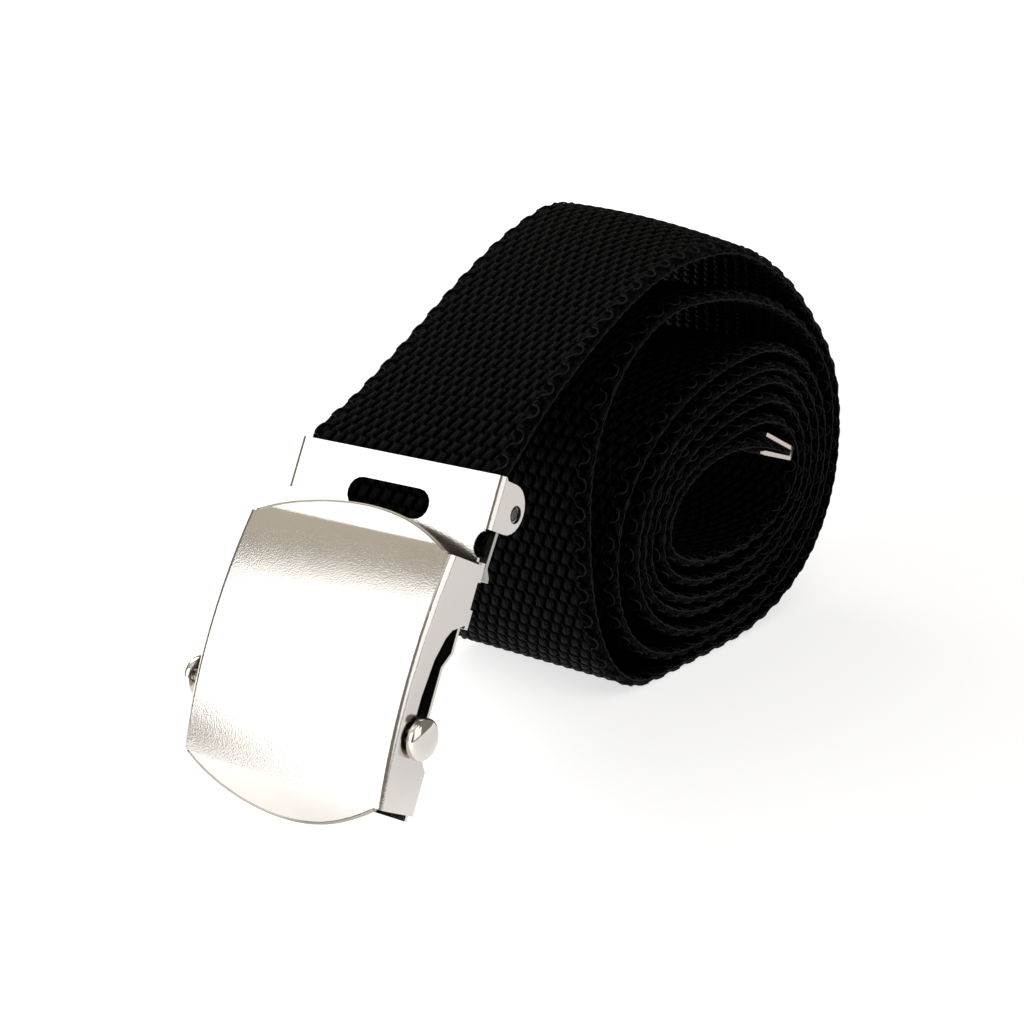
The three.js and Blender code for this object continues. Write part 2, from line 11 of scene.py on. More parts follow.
import bpy
import numpy as np
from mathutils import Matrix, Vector


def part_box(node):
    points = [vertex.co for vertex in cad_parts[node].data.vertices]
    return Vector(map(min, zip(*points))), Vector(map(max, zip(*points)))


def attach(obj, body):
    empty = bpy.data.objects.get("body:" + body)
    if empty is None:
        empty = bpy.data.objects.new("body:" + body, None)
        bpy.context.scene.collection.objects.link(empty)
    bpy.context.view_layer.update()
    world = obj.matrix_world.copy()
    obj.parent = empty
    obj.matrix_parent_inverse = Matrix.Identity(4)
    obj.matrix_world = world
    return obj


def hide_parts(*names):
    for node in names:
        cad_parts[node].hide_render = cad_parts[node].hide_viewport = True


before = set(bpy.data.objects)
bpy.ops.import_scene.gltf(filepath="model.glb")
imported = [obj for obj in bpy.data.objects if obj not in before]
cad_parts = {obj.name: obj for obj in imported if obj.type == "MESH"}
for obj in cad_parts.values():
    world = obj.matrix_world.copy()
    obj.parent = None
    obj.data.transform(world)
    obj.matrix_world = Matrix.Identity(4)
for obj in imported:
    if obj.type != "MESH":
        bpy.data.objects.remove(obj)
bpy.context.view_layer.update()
MM = 0.001
print("solids:", sorted(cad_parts))

# %% [markdown]
# ## Camera
# The photo looks at the buckle from its right and a little above, with a long lens as for
# a small product. The camera could be turned by eye until it looks right, but the edges
# of the buckle would soon drift. So its place and lens were worked out beforehand from
# the buckle's corners and the line that the roll stands on, and they are typed in here.
# It comes first, because every later choice is judged through it.

# %% Camera
CAMERA_PLACE = (0.20486, -0.30135, 0.14589)
CAMERA_DOWN = 17.629
CAMERA_ROUND = 34.976
bpy.ops.object.camera_add(location=CAMERA_PLACE)
camera = bpy.context.object
camera.name = "photo_camera"
camera.rotation_euler = (math.radians(90 - CAMERA_DOWN), 0, math.radians(CAMERA_ROUND))
camera.data.lens = 77.53
camera.data.sensor_width = 36
camera.data.clip_start = 0.01
bpy.context.scene.camera = camera
print("camera", tuple(round(c, 3) for c in camera.location))

# %% [markdown]
# ## Two small helpers for selecting
# Operators act on everything that is selected, and the loaded solids are selected from
# the start. So each step first deselects all and then picks its own object.


# %% Selecting one object
def only(piece):
    """Make this the one selected and active object."""
    if bpy.context.object and bpy.context.object.mode != "OBJECT":
        bpy.ops.object.mode_set(mode="OBJECT")
    bpy.ops.object.select_all(action="DESELECT")
    piece.select_set(True)
    bpy.context.view_layer.objects.active = piece


def faces_of(piece):
    return sum(len(p.vertices) - 2 for p in piece.data.polygons)


bpy.ops.object.select_all(action="DESELECT")

# %% [markdown]
# ## The strap's route
# Seen from the side, the strap climbs from behind the buckle's plate, slants up to the
# crown of the roll and winds inwards in seven turns. Its middle line could be drawn as a
# curve object and given a flat bevel, but then the weave could not follow it row by row.
# So the line is worked out here, from the same named sizes and tables as the solids:
# shares of the roll's reach and height, one row for each turn. All lengths are in
# millimetres until the mesh is made.

# %% Sizes of the strap, the buckle and the roll
BELT_WIDTH = 38.0
BELT_THICK = 1.5
HALF_BELT = BELT_WIDTH / 2
SHEET = 0.6
CLEARANCE = 0.3
LEAN = math.radians(27.6)
COVER_LENGTH = 38.9
COVER_DEPTH = 7.4
LIP_REACH = 5.5
LIP_DROP = 3.2
HEAD_LENGTH = 14
EAR_LENGTH = 7.9
EAR_SHARE = 0.61
PLATE_LENGTH = COVER_LENGTH + HEAD_LENGTH
HINGE_AT = PLATE_LENGTH - EAR_LENGTH * EAR_SHARE
HINGE_DROP = 5.6
BELT_TUCK = 12.6
WEB_MIDDLE = -SHEET - CLEARANCE - BELT_THICK / 2
BAR_AT = 11.5
BAR_DROP = 4.2
BAR_SHIFT = -0.85
ROLL_REACH = 40.0
ROLL_HIGH = 75.0
SLACK = 10.0
EYE_BACK = 31.4
EYE_FRONT = 11.1
EYE_HIGH = 19.8
FOOT_FLAT = 9.0
SPAN_REACH = 65.5
SPAN_LIFT = 0.6
PAST_CROWN = 6
PAST_CROWN_FALL = 0.35
ROLL_YAW = math.radians(3.5)
TURN_GAP = 0.5
TURN_STEP = 10
ALMOST_ROUND = 250
TAIL_REACH = 18.0
TAIL_DROP = 4.3
LAST_CROWN = 0.2
CROWN_RISE = -0.086
CROWN_SWELL = 1.2
CROWN_ARCH = 1.1
CROWN_SPREAD = 20
TILT_ROOM = 1.2
TIP_GRIP = 8.2
PINCHED = 0.5

TURN_COLUMNS = (
    "top_y", "top_gap", "shoulder", "back_z", "back_gap",
    "full", "low_y", "low_gap", "front_z", "front_gap",
)
TURN_ROWS = (
    (0.08, 0.77, 1.7, 0.46, 0.1, 2.4, -0.21, 0.065, 0.49, 0.65),
    (-0.15, 1.09, 2, 0.47, 0.1, 2.3, -0.03, 0.06, 0.34, 0.45),
    (0.4, 0.21, 2, 0.42, 0.1, 2.1, 0.16, 0.25, 0.325, 0.05),
    (0.425, 0.11, 2, 0.42, 0.1, 2.1, 0.12, 0.07, 0.325, 0.05),
    (0.45, 0.2, 2, 0.41, 0.09, 2.1, 0.16, 0.15, 0.33, 0.21),
    (0.46, 0.21, 2, 0.4, 0.08, 2.1, 0.18, 0.2, 0.335, 0.05),
    (0.42, 0.18, 2, 0.4, 0, 2.1, 0.22, 0, 0.345, 0),
)
TURNS = [dict(zip(TURN_COLUMNS, row)) for row in TURN_ROWS]
# along, up and rise of the slanting stretch from the buckle to the crown
SPAN = (
    (0.05, 0.075, 0.02),
    (0.15, 0.215, 0.09),
    (0.36, 0.49, 0.12),
    (0.61, 0.78, 0.08),
    (0.81, 0.935, 0.0),
)
LOWEST_LIP = LIP_REACH * math.cos(LEAN) - (COVER_DEPTH - LIP_DROP - SHEET) * math.sin(LEAN)


# %% Where the leaning buckle puts a point
def stand(v, w):
    """v runs up the buckle and w out of its face; the answer is in the side view."""
    y = v * math.sin(LEAN) - w * math.cos(LEAN)
    z = v * math.cos(LEAN) + w * math.sin(LEAN) + LOWEST_LIP
    return y, z


pin_low, pin_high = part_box("hinge_pin")
pin_middle = (pin_low + pin_high) / 2 / MM
hinge_y, hinge_z = stand(HINGE_AT, -HINGE_DROP)
SHIFT = Vector((pin_middle.x, pin_middle.y - hinge_y, pin_middle.z - hinge_z))
print("the solids are shifted by", tuple(round(c, 3) for c in SHIFT))

# %% [markdown]
# The turns are nested from the inside out: each lies on the next one inside, plus a gap.
# A quarter of a turn is a rounded corner between two of its extremes.


# %% Extremes and quarters of a turn
def turn_extremes():
    rows = [dict(turn) for turn in TURNS]
    low = BELT_THICK / 2
    for row in rows:
        row["low_z"] = low
        low += BELT_THICK + SLACK * row["low_gap"]
    last_top = rows[-1]["low_z"] + EYE_HIGH
    top, back, front = last_top, None, None
    for row in reversed(rows):
        top = top + BELT_THICK + SLACK * row["top_gap"]
        back = EYE_BACK if back is None else back + BELT_THICK + SLACK * row["back_gap"]
        front = -EYE_FRONT if front is None else front - BELT_THICK - SLACK * row["front_gap"]
        row.update(top_z=top, back_y=back, front_y=front)
    return rows, last_top


def quarter(start, end, starts_flat, full, steps):
    points = []
    for i in range(steps):
        angle = math.pi / 2 * i / steps
        s = math.sin(angle) ** (2 / full)
        c = math.cos(angle) ** (2 / full)
        if starts_flat:
            y = start[0] + (end[0] - start[0]) * s
            z = end[1] + (start[1] - end[1]) * c
        else:
            y = end[0] + (start[0] - end[0]) * c
            z = start[1] + (end[1] - start[1]) * s
        points.append((y, z))
    return points


# %% [markdown]
# The slanting stretch is one smooth curve through its table's points. The same rule,
# a spline that passes through every point without overshooting, later smooths the whole
# route, so it is written once.


# %% A smooth curve through four neighbouring points
def smooth_between(p0, p1, p2, p3, share, plane=None):
    """The point at a share of the way from p1 to p2. plane says which numbers measure length."""
    p0, p1, p2, p3 = (np.asarray(p, float) for p in (p0, p1, p2, p3))
    measure = slice(None) if plane is None else plane

    def knot(a, b):
        return max(np.sum((b[measure] - a[measure]) ** 2) ** 0.25, 1e-4)

    d0, d1, d2 = knot(p0, p1), knot(p1, p2), knot(p2, p3)
    t1 = ((p1 - p0) / d0 - (p2 - p0) / (d0 + d1) + (p2 - p1) / d1) * d1
    t2 = ((p2 - p1) / d1 - (p3 - p1) / (d1 + d2) + (p3 - p2) / d2) * d1
    c2 = -3 * p1 + 3 * p2 - 2 * t1 - t2
    c3 = 2 * p1 - 2 * p2 + t1 + t2
    return p1 + t1 * share + c2 * share**2 + c3 * share**3


# %% The route from the buckle to the free end
# Each point is y, z, blend and rise: blend turns the roll against the buckle, and rise
# is how much the strap tilts across its width.
def slanting_stretch(plate_top, crown):
    wide, high = crown[0] - plate_top[0], crown[1] - plate_top[1]
    knots = [(0, 0, 0), *SPAN, (1, 1, CROWN_RISE)]
    places = [(plate_top[0] + a * wide, plate_top[1] + u * high, r) for a, u, r in knots]
    lead = (*stand(PLATE_LENGTH - 1, WEB_MIDDLE), 0)
    run = [lead, *places, (crown[0] + PAST_CROWN, crown[1] - PAST_CROWN_FALL, CROWN_RISE)]
    points = []
    for i in range(1, len(knots)):
        steps = 5 if i < 3 else 4
        for s in range(steps):
            y, z, rise = smooth_between(run[i - 1], run[i], run[i + 1], run[i + 2], s / steps)
            points.append([y, z, (y - plate_top[0]) / wide, rise])
    return points


def turning_points(axis, rows, last_top):
    steps = round(90 / TURN_STEP)
    points = []
    for i, row in enumerate(rows):
        flat = FOOT_FLAT / 2 if i == 0 else 0
        top = (axis + row["top_y"] * ROLL_REACH, row["top_z"])
        back = (axis + row["back_y"], row["back_z"] * ROLL_HIGH)
        heel = (axis + row["low_y"] * ROLL_REACH + flat, row["low_z"])
        toe = (axis + row["low_y"] * ROLL_REACH - flat, row["low_z"])
        front = (axis + row["front_y"], row["front_z"] * ROLL_HIGH)
        if i + 1 < len(rows):
            after = (axis + rows[i + 1]["top_y"] * ROLL_REACH, rows[i + 1]["top_z"])
        else:
            after = (axis + LAST_CROWN * ROLL_REACH, last_top)
        down = quarter(top, back, True, row["shoulder"], steps)
        down += quarter(back, heel, False, row["full"], steps + 1)
        up = [heel] if flat else []
        up += quarter(toe, front, True, row["full"], steps + 1)
        up += quarter(front, after, False, 2, steps)
        for k, (y, z) in enumerate(down):
            share = k / len(down)
            swell = 1 + CROWN_SWELL * math.sin(math.pi * share)
            fade = swell * (1 - share) if i == 0 else 0
            points.append([y, z, 1, CROWN_RISE * fade])
        points += [[y, z, 1, 0] for y, z in up]
    return points


# %% [markdown]
# Where two turns would press into each other, the outer one is pushed out a little, from
# the inside outwards, as the real strap lies on the turn below it.


# %% Pushing the turns apart
def distance_to(point, start, end):
    way, off = end - start, point - start
    share = np.clip(off @ way / (way @ way), 0, 1)
    return np.linalg.norm(off - way * share)


def spread(route, crown_index):
    almost_round = round(ALMOST_ROUND / TURN_STEP)
    for i in range(len(route) - 2 - almost_round, crown_index, -1):
        way = route[i + 1, :2] - route[i - 1, :2]
        out = np.array((-way[1], way[0])) / np.linalg.norm(way)
        inner = range(i + almost_round, len(route) - 1)
        nearest = min(distance_to(route[i, :2], route[j, :2], route[j + 1, :2]) for j in inner)
        tilt = TILT_ROOM * abs(route[i, 3] * out[1]) * HALF_BELT
        lacking = BELT_THICK + TURN_GAP + tilt - nearest
        if lacking > 0:
            route[i, :2] += out * lacking


def belt_route():
    plate_top = stand(PLATE_LENGTH + SPAN_LIFT, WEB_MIDDLE)
    crown_y = plate_top[0] + SPAN_REACH
    axis = crown_y - TURNS[0]["top_y"] * ROLL_REACH
    rows, last_top = turn_extremes()
    end_at = PLATE_LENGTH - BELT_TUCK
    behind = [end_at, (end_at + PLATE_LENGTH) / 2, PLATE_LENGTH - 1]
    points = [[*stand(v, WEB_MIDDLE), 0, 0] for v in behind]
    points += slanting_stretch(plate_top, (crown_y, rows[0]["top_z"]))
    crown_index = len(points)
    points += turning_points(axis, rows, last_top)
    for i in range(6):
        share = i / 5
        y = axis + LAST_CROWN * ROLL_REACH + TAIL_REACH * share
        points.append([y, last_top - TAIL_DROP * share**2, 1, 0])
    route = np.array(points, float)
    spread(route, crown_index)
    return route, axis


# %% Smooth the route and measure it
def smoothed(route, parts=10):
    padded = np.vstack([2 * route[0] - route[1], route, 2 * route[-1] - route[-2]])
    points = []
    for i in range(1, len(padded) - 2):
        near = padded[i - 1 : i + 3]
        points += [smooth_between(*near, k / parts, plane=slice(0, 2)) for k in range(parts)]
    points.append(route[-1])
    return np.array(points)


rough_route, ROLL_AXIS = belt_route()
fine_route = smoothed(rough_route)
steps_between = np.linalg.norm(np.diff(fine_route[:, :2], axis=0), axis=1)
travelled = np.concatenate([[0], np.cumsum(steps_between)])
STRAP_LENGTH = travelled[-1]
CROWN_ALONG = travelled[np.argmax(fine_route[: len(fine_route) // 3, 1])]
ways = np.gradient(fine_route[:, :2], axis=0)
ways /= np.linalg.norm(ways, axis=1)[:, None]
print(f"strap length {STRAP_LENGTH:.0f} mm, {len(rough_route)} points")

# %% [markdown]
# ## From the strap to the room
# A point of the webbing is easiest to describe flat: how far along, how far across from
# the middle, and how far out from the middle of its thickness. One function bends such
# points into the roll. The weave, the threads along the edges and everything else of
# cloth goes through it, so nothing can slip off the strap. Over the crown of the roll it
# also lifts the middle of the strap a little, because stiff webbing arches across its
# width there, and the outline in the photo is rounder than a flat strap would give.


# %% Bend flat points into the roll
def on_strap(along, across, out):
    along, across, out = np.broadcast_arrays(along, across, out)

    def read(values):
        return np.interp(along, travelled, values)

    left = STRAP_LENGTH - along
    pinch = np.clip(PINCHED + (1 - PINCHED) * left / TIP_GRIP, PINCHED, 1)
    out = out * pinch
    blend = read(fine_route[:, 2])
    near_crown = np.exp(-(((along - CROWN_ALONG) / CROWN_SPREAD) ** 2))
    out = out + CROWN_ARCH * near_crown * (1 - (across / HALF_BELT) ** 2)
    y = read(fine_route[:, 0]) - out * read(ways[:, 1])
    z = read(fine_route[:, 1]) + out * read(ways[:, 0]) + across * read(fine_route[:, 3])
    angle = ROLL_YAW * blend
    behind = y - ROLL_AXIS
    drift = behind * np.sin(angle) * np.where(blend < 1, blend**3, 1)
    x_room = across * np.cos(angle) + drift
    y_room = y - across * np.sin(angle) - behind * (1 - np.cos(angle))
    return np.stack([x_room, y_room, z], axis=-1) + np.array(SHIFT)


# %% [markdown]
# ## The weave
# This webbing has fat blocks of yarn, laid like bricks: 16 across the strap, each row
# moved half a block against the last, and each block leaning a little. A bump map alone
# would leave the outline of the roll as smooth as tape, and the photo shows it knobbly.
# So the blocks are real relief. The strap is a grid with four lines for each block both
# ways, and its height follows the pattern. Near the edges the blocks give way to slanting
# ridges, which the edge threads cover.

# %% Pattern sizes
BLOCKS_ACROSS = 16
WOVEN_HALF = 18.2
BLOCK_WIDE = 2 * WOVEN_HALF / BLOCKS_ACROSS
ROWS = 2 * round(STRAP_LENGTH / 4.8)
ROW_LONG = STRAP_LENGTH / ROWS
PERIOD = 2 * ROW_LONG
BLOCK_LEAN = -0.38
RELIEF = 0.5
LEVEL_HEIGHT = 0.66
SCALLOP = 0.12
SELVAGE_FROM = 16.4
SELVAGE_FADE = 0.7
RIDGE_SLANT = 2.4
ROW_PARTS = (0.0, 0.2, 0.5, 0.8)
ROW_SWELL = (0.0, 0.9, 1.0, 0.9)
ROW_SLIDE = (0.0, -0.3, 0.0, 0.3)
print(f"{ROWS} rows of {ROW_LONG:.2f} mm, blocks {BLOCK_WIDE:.2f} mm wide")


# %% Height of the woven face
def block_swell(column):
    """0 in the gap between two blocks and 1 on top of a block."""
    return 1 - np.abs(2 * (column % 1) - 1) ** 3


def woven_height(row, part, across, side):
    """Height from 0 to 1 of one line of the grid; side is 1 on the outer face and -1 inside."""
    column = across / BLOCK_WIDE + 0.25 * (1 - side)
    here = block_swell(column + 0.5 * (row % 2))
    before = block_swell(column + 0.5 * ((row + 1) % 2))
    swell = ROW_SWELL[part]
    blocks = here * swell if part else 0.75 * (here + before) / 2
    turn = row + ROW_PARTS[part] + side * (np.abs(across) - SELVAGE_FROM) / RIDGE_SLANT
    ridges = 0.5 + 0.4 * np.sin(2 * math.pi * turn)
    edge = np.clip((np.abs(across) - SELVAGE_FROM) / SELVAGE_FADE, 0, 1)
    return blocks * (1 - edge) + ridges * edge


# %% One line of the grid, all the way round the strap
FACE_LINE = np.linspace(WOVEN_HALF, -WOVEN_HALF, 4 * BLOCKS_ACROSS + 1)


def strap_line(row, part):
    """One ring of points: outer face, edge, inner face, edge. pattern is across, unslid."""
    slide = ROW_SLIDE[part] * ROW_LONG * -BLOCK_LEAN
    outer = woven_height(row, part, FACE_LINE, 1)
    inner = woven_height(row, part, FACE_LINE[::-1], -1)
    still = np.clip((WOVEN_HALF - np.abs(FACE_LINE)) / 1.5, 0, 1)
    half = BELT_THICK / 2
    scallop = SCALLOP * math.cos(2 * math.pi * (row + ROW_PARTS[part]) / 2)
    rim = HALF_BELT + scallop
    edge_across = np.array((rim - 0.3, rim, rim - 0.3))
    edge_out = np.array((0.6, 0.0, -0.6)) * half
    edge_height = np.array((0.5, 0.7, 0.5))
    back_line = FACE_LINE[::-1]
    pattern = np.concatenate([FACE_LINE, -edge_across, back_line + BLOCK_WIDE / 2, edge_across])
    slid = FACE_LINE + slide * still
    slid_back = back_line - slide * still[::-1]
    across = np.concatenate([slid, -edge_across, slid_back, edge_across])
    outside = half + (outer - LEVEL_HEIGHT) * RELIEF
    inside = -half - (inner - LEVEL_HEIGHT) * RELIEF
    out = np.concatenate([outside, edge_out, inside, -edge_out])
    height = np.concatenate([outer, edge_height, inner, edge_height])
    return across, out, height, pattern


# %% [markdown]
# The relief makes a heavy mesh, so the strap is cut into five stretches at the groove
# between two rows, where no seam can be seen. Each is a closed skin of its own. Three
# numbers are kept with every point for the material: how far across and along it lies,
# and how high it stands in the weave. The strap and the threads are both skins of rings
# of points, so their faces are worked out by the same function.


# %% Skins made of rings of points
def wrapped(rings, count):
    """The four-cornered faces between each ring of points and the next."""
    here = np.arange(rings - 1)[:, None] * count
    i = np.arange(count)[None, :]
    j = (i + 1) % count
    corners = np.stack([here + i, here + j, here + count + j, here + count + i], -1)
    return corners.reshape(-1, 4).tolist()


def closed_skin(name, points, faces):
    """An object with all its faces turned outwards, selected and active. points are in metres."""
    mesh = bpy.data.meshes.new(name)
    mesh.from_pydata(points.reshape(-1, 3).tolist(), [], faces)
    piece = bpy.data.objects.new(name, mesh)
    bpy.context.scene.collection.objects.link(piece)
    only(piece)
    bpy.ops.object.mode_set(mode="EDIT")
    bpy.ops.mesh.select_all(action="SELECT")
    bpy.ops.mesh.normals_make_consistent(inside=False)
    bpy.ops.object.mode_set(mode="OBJECT")
    return piece


# %% Making one stretch of webbing
def store(mesh, name, values):
    layer = mesh.attributes.new(name, "FLOAT", "POINT")
    layer.data.foreach_set("value", np.asarray(values, np.float32))


def webbing_stretch(name, first, last):
    rings = [(row, part) for row in range(first, last) for part in range(4)] + [(last, 0)]
    lines = np.array([strap_line(row, part) for row, part in rings])
    across, out, height, pattern = lines.transpose(1, 0, 2)
    rows_along = np.array([row + ROW_PARTS[part] for row, part in rings])
    count = across.shape[1]
    along = np.repeat(rows_along[:, None] * ROW_LONG, count, axis=1)
    points = on_strap(along, across, out) * MM
    skin = wrapped(len(rings), count)
    face = len(FACE_LINE)
    mirror = np.arange(2 * face + 2, face + 2, -1)
    k = np.arange(face - 1)
    start = np.stack([k, mirror[k], mirror[k + 1], k + 1], -1)
    left = ((face - 1, face + 3, face + 2, face), (face, face + 2, face + 1))
    right = ((0, count - 1, count - 3, 2 * face + 2), (count - 1, count - 2, count - 3))
    caps = []
    for base, turn in ((0, 1), ((len(rings) - 1) * count, -1)):
        for quad in (*start, *left, *right):
            corners = list(dict.fromkeys(int(q) + base for q in quad))
            caps.append(corners[::turn])
    piece = closed_skin(name, points, skin + caps)
    store(piece.data, "block_column", (pattern / BLOCK_WIDE).ravel())
    store(piece.data, "block_row", (along / ROW_LONG).ravel())
    store(piece.data, "block_height", height.ravel())
    bpy.ops.object.shade_smooth_by_angle(angle=math.radians(75))
    return piece


# %% Make the strap
STRETCHES = 5
cuts = [round(ROWS * i / STRETCHES / 2) * 2 for i in range(STRETCHES + 1)]
strap_pieces = []
for i in range(STRETCHES):
    piece = webbing_stretch(f"webbing_stretch_{i + 1}", cuts[i], cuts[i + 1])
    strap_pieces.append(piece)
    print(piece.name, faces_of(piece), "triangles")

# %% [markdown]
# ## Threads along the edges
# On each face a weft thread loops out towards the edge and back once in two rows, which
# shows as a row of small hooks that lie on the webbing. A second thread wavers along the
# very edge. They could be curves with a round bevel. Here they are thin tubes made
# directly, because each must follow the strap's own bends point by point.


# %% A tube along a path
def tube(name, path, radius, sides):
    ways_on = np.gradient(path, axis=0)
    ways_on /= np.linalg.norm(ways_on, axis=1)[:, None]
    upright = np.cross(ways_on, np.array((1.0, 0.15, 0.1)))
    upright /= np.linalg.norm(upright, axis=1)[:, None]
    beside = np.cross(ways_on, upright)
    angles = 2 * math.pi * np.arange(sides) / sides
    ring = np.cos(angles)[None, :, None] * upright[:, None, :]
    ring = ring + np.sin(angles)[None, :, None] * beside[:, None, :]
    points = path[:, None, :] + radius * ring
    last = (len(path) - 1) * sides
    caps = [list(range(sides)), list(range(last, last + sides))]
    piece = closed_skin(name, points * MM, wrapped(len(path), sides) + caps)
    bpy.ops.object.shade_smooth()
    return piece


# %% The threads on each edge
THREAD_RADIUS = 0.15
LOOP_MIDDLE = 17.75
LOOP_HALF = 0.95
LOOP_LOW = 0.56
LOOP_LIFT = 0.32
LOOP_FORWARD = 0.3


def edge_thread(name, side):
    along = np.arange(0.5, STRAP_LENGTH - 0.5, ROW_LONG / 4)
    phase = 2 * math.pi * along / ROW_LONG
    across = side * (HALF_BELT + 0.1 + 0.07 * np.cos(phase))
    out = -0.42 + 0.09 * np.sin(phase)
    return tube(name, on_strap(along, across, out), THREAD_RADIUS, 4)


def hook_thread(name, side, face):
    """face is 1 for the hooks on the outer face and -1 for those inside."""
    along = np.arange(0.5, STRAP_LENGTH - 0.5, ROW_LONG / 8)
    phase = 2 * math.pi * along / PERIOD + (0 if face > 0 else math.pi)
    across = side * (LOOP_MIDDLE + LOOP_HALF * np.cos(phase))
    out = face * (LOOP_LOW + LOOP_LIFT * np.sin(phase) ** 2)
    forward = LOOP_FORWARD * np.sin(2 * phase)
    return tube(name, on_strap(along + forward, across, out), THREAD_RADIUS, 5)


edge_pieces = []
for side, word in ((1, "near"), (-1, "far")):
    edge_pieces.append(edge_thread(f"edge_thread_{word}", side))
    edge_pieces.append(hook_thread(f"outer_hooks_{word}", side, 1))
    edge_pieces.append(hook_thread(f"inner_hooks_{word}", side, -1))
print("edge threads:", [faces_of(p) for p in edge_pieces], "triangles")

# %% [markdown]
# ## Pressed sheet with rounded edges
# The cover, the plate, the lever and the folded tip have the right shape as solids, but
# their edges are knife sharp and would never catch the light. The solids themselves are
# left alone. Each gets a copy whose loose triangles are merged and flattened into whole
# faces, and a small bevel rounds the edges, as tumbling does before plating.


# %% A softened copy of a solid
MERGE_WITHIN = 0.02
FLAT_WITHIN = math.radians(0.6)
BEVEL_FROM = math.radians(38)
SHARP_FROM = math.radians(42)


def softened(node, name, width):
    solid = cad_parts[node]
    piece = solid.copy()
    piece.data = solid.data.copy()
    piece.name = name
    piece.data.name = name
    piece.parent = None
    for key in list(piece.keys()):
        del piece[key]
    bpy.context.scene.collection.objects.link(piece)
    only(piece)
    if piece.data.has_custom_normals:
        bpy.ops.mesh.customdata_custom_splitnormals_clear()
    bpy.ops.object.mode_set(mode="EDIT")
    bpy.ops.mesh.select_all(action="SELECT")
    bpy.ops.mesh.remove_doubles(threshold=MERGE_WITHIN * MM)
    bpy.ops.mesh.dissolve_limited(angle_limit=FLAT_WITHIN)
    bpy.ops.object.mode_set(mode="OBJECT")
    bevel = piece.modifiers.new("rounded edges", "BEVEL")
    bevel.width = width * MM
    bevel.segments = 2
    bevel.limit_method = "ANGLE"
    bevel.angle_limit = BEVEL_FROM
    bevel.use_clamp_overlap = True
    bpy.ops.object.modifier_apply(modifier=bevel.name)
    bpy.ops.object.shade_smooth_by_angle(angle=SHARP_FROM)
    evener = piece.modifiers.new("even shading", "WEIGHTED_NORMAL")
    evener.keep_sharp = True
    bpy.ops.object.modifier_apply(modifier=evener.name)
    print(name, faces_of(piece), "triangles")
    return piece


cover = softened("buckle_cover", "cover_pressing", 0.13)
plate = softened("frame_plate", "plate_pressing", 0.11)
lever = softened("clamp_lever", "lever_pressing", 0.12)
tip = softened("belt_tip", "tip_fold", 0.12)

# %% [markdown]
# ## Turned pieces: the sliding bar and the hinge pin
# The bar is a rod with a domed head riveted on each end. A lathe shape could be spun from
# a profile. Drawing it out is closer to how it is made: start from a plain rod, select an
# end face, and extrude and widen it step by step into the head.


# %% Drawing out a rod
def drawn_rod(name, rings, sides, place):
    """rings are (distance from the middle, radius), outwards; both ends are made alike."""
    reach, radius = rings[0]
    bpy.ops.object.select_all(action="DESELECT")
    bpy.ops.mesh.primitive_cylinder_add(
        vertices=sides, radius=radius * MM, depth=2 * reach * MM, rotation=(0, math.pi / 2, 0)
    )
    rod = bpy.context.object
    rod.name = name
    rod.data.name = name
    bpy.ops.object.transform_apply(location=False, rotation=True, scale=False)
    for end in (1, -1):
        bpy.ops.object.mode_set(mode="EDIT")
        bpy.ops.mesh.select_mode(type="FACE")
        bpy.ops.mesh.select_all(action="DESELECT")
        bpy.ops.object.mode_set(mode="OBJECT")
        far = 0.9 * reach * MM
        for polygon in rod.data.polygons:
            polygon.select = polygon.center.x * end > far and len(polygon.vertices) == sides
        bpy.ops.object.mode_set(mode="EDIT")
        at, wide = reach, radius
        for next_at, next_wide in rings[1:]:
            step = (end * (next_at - at) * MM, 0, 0)
            bpy.ops.mesh.extrude_region_move(TRANSFORM_OT_translate={"value": step})
            grow = next_wide / wide
            bpy.ops.transform.resize(
                value=(1, grow, grow), center_override=(end * next_at * MM, 0, 0)
            )
            at, wide = next_at, next_wide
        bpy.ops.object.mode_set(mode="OBJECT")
    rod.location = place
    bpy.ops.object.transform_apply(location=True, rotation=False, scale=False)
    bpy.ops.object.shade_smooth_by_angle(angle=math.radians(40))
    print(name, faces_of(rod), "triangles")
    return rod


def buckle_place(u, v, w):
    y, z = stand(v, w)
    return (Vector((u, y, z)) + SHIFT) * MM


# %% The bar and its heads
BAR_RADIUS = 1.2
HEAD_RADIUS = 3.3
HEAD_INSIDE = 21.45
HEAD_RIM = 0.9
HEAD_DOME = 2.2
head = [(HEAD_INSIDE, HEAD_RADIUS - 0.35), (HEAD_INSIDE + 0.1, HEAD_RADIUS - 0.1)]
head.append((HEAD_INSIDE + 0.3, HEAD_RADIUS))
for i in range(8):
    angle = math.radians(11 * i)
    rise_of_dome = HEAD_RIM + (HEAD_DOME - HEAD_RIM) * math.sin(angle)
    head.append((HEAD_INSIDE + rise_of_dome, HEAD_RADIUS * math.cos(angle)))
rod_rings = [(HEAD_INSIDE - 0.01, BAR_RADIUS), *head]
bar = drawn_rod("sliding_bar", rod_rings, 40, buckle_place(BAR_SHIFT, BAR_AT, BAR_DROP))

# %% The hinge pin
PIN_RADIUS = 1.15
PIN_HALF = 19.9
pin_rings = [(PIN_HALF - 0.4, PIN_RADIUS), (PIN_HALF - 0.12, PIN_RADIUS * 0.93)]
pin_rings += [(PIN_HALF, PIN_RADIUS * 0.72), (PIN_HALF - 0.12, PIN_RADIUS * 0.4)]
pin = drawn_rod("lever_pin", pin_rings, 32, buckle_place(0, HINGE_AT, -HINGE_DROP))
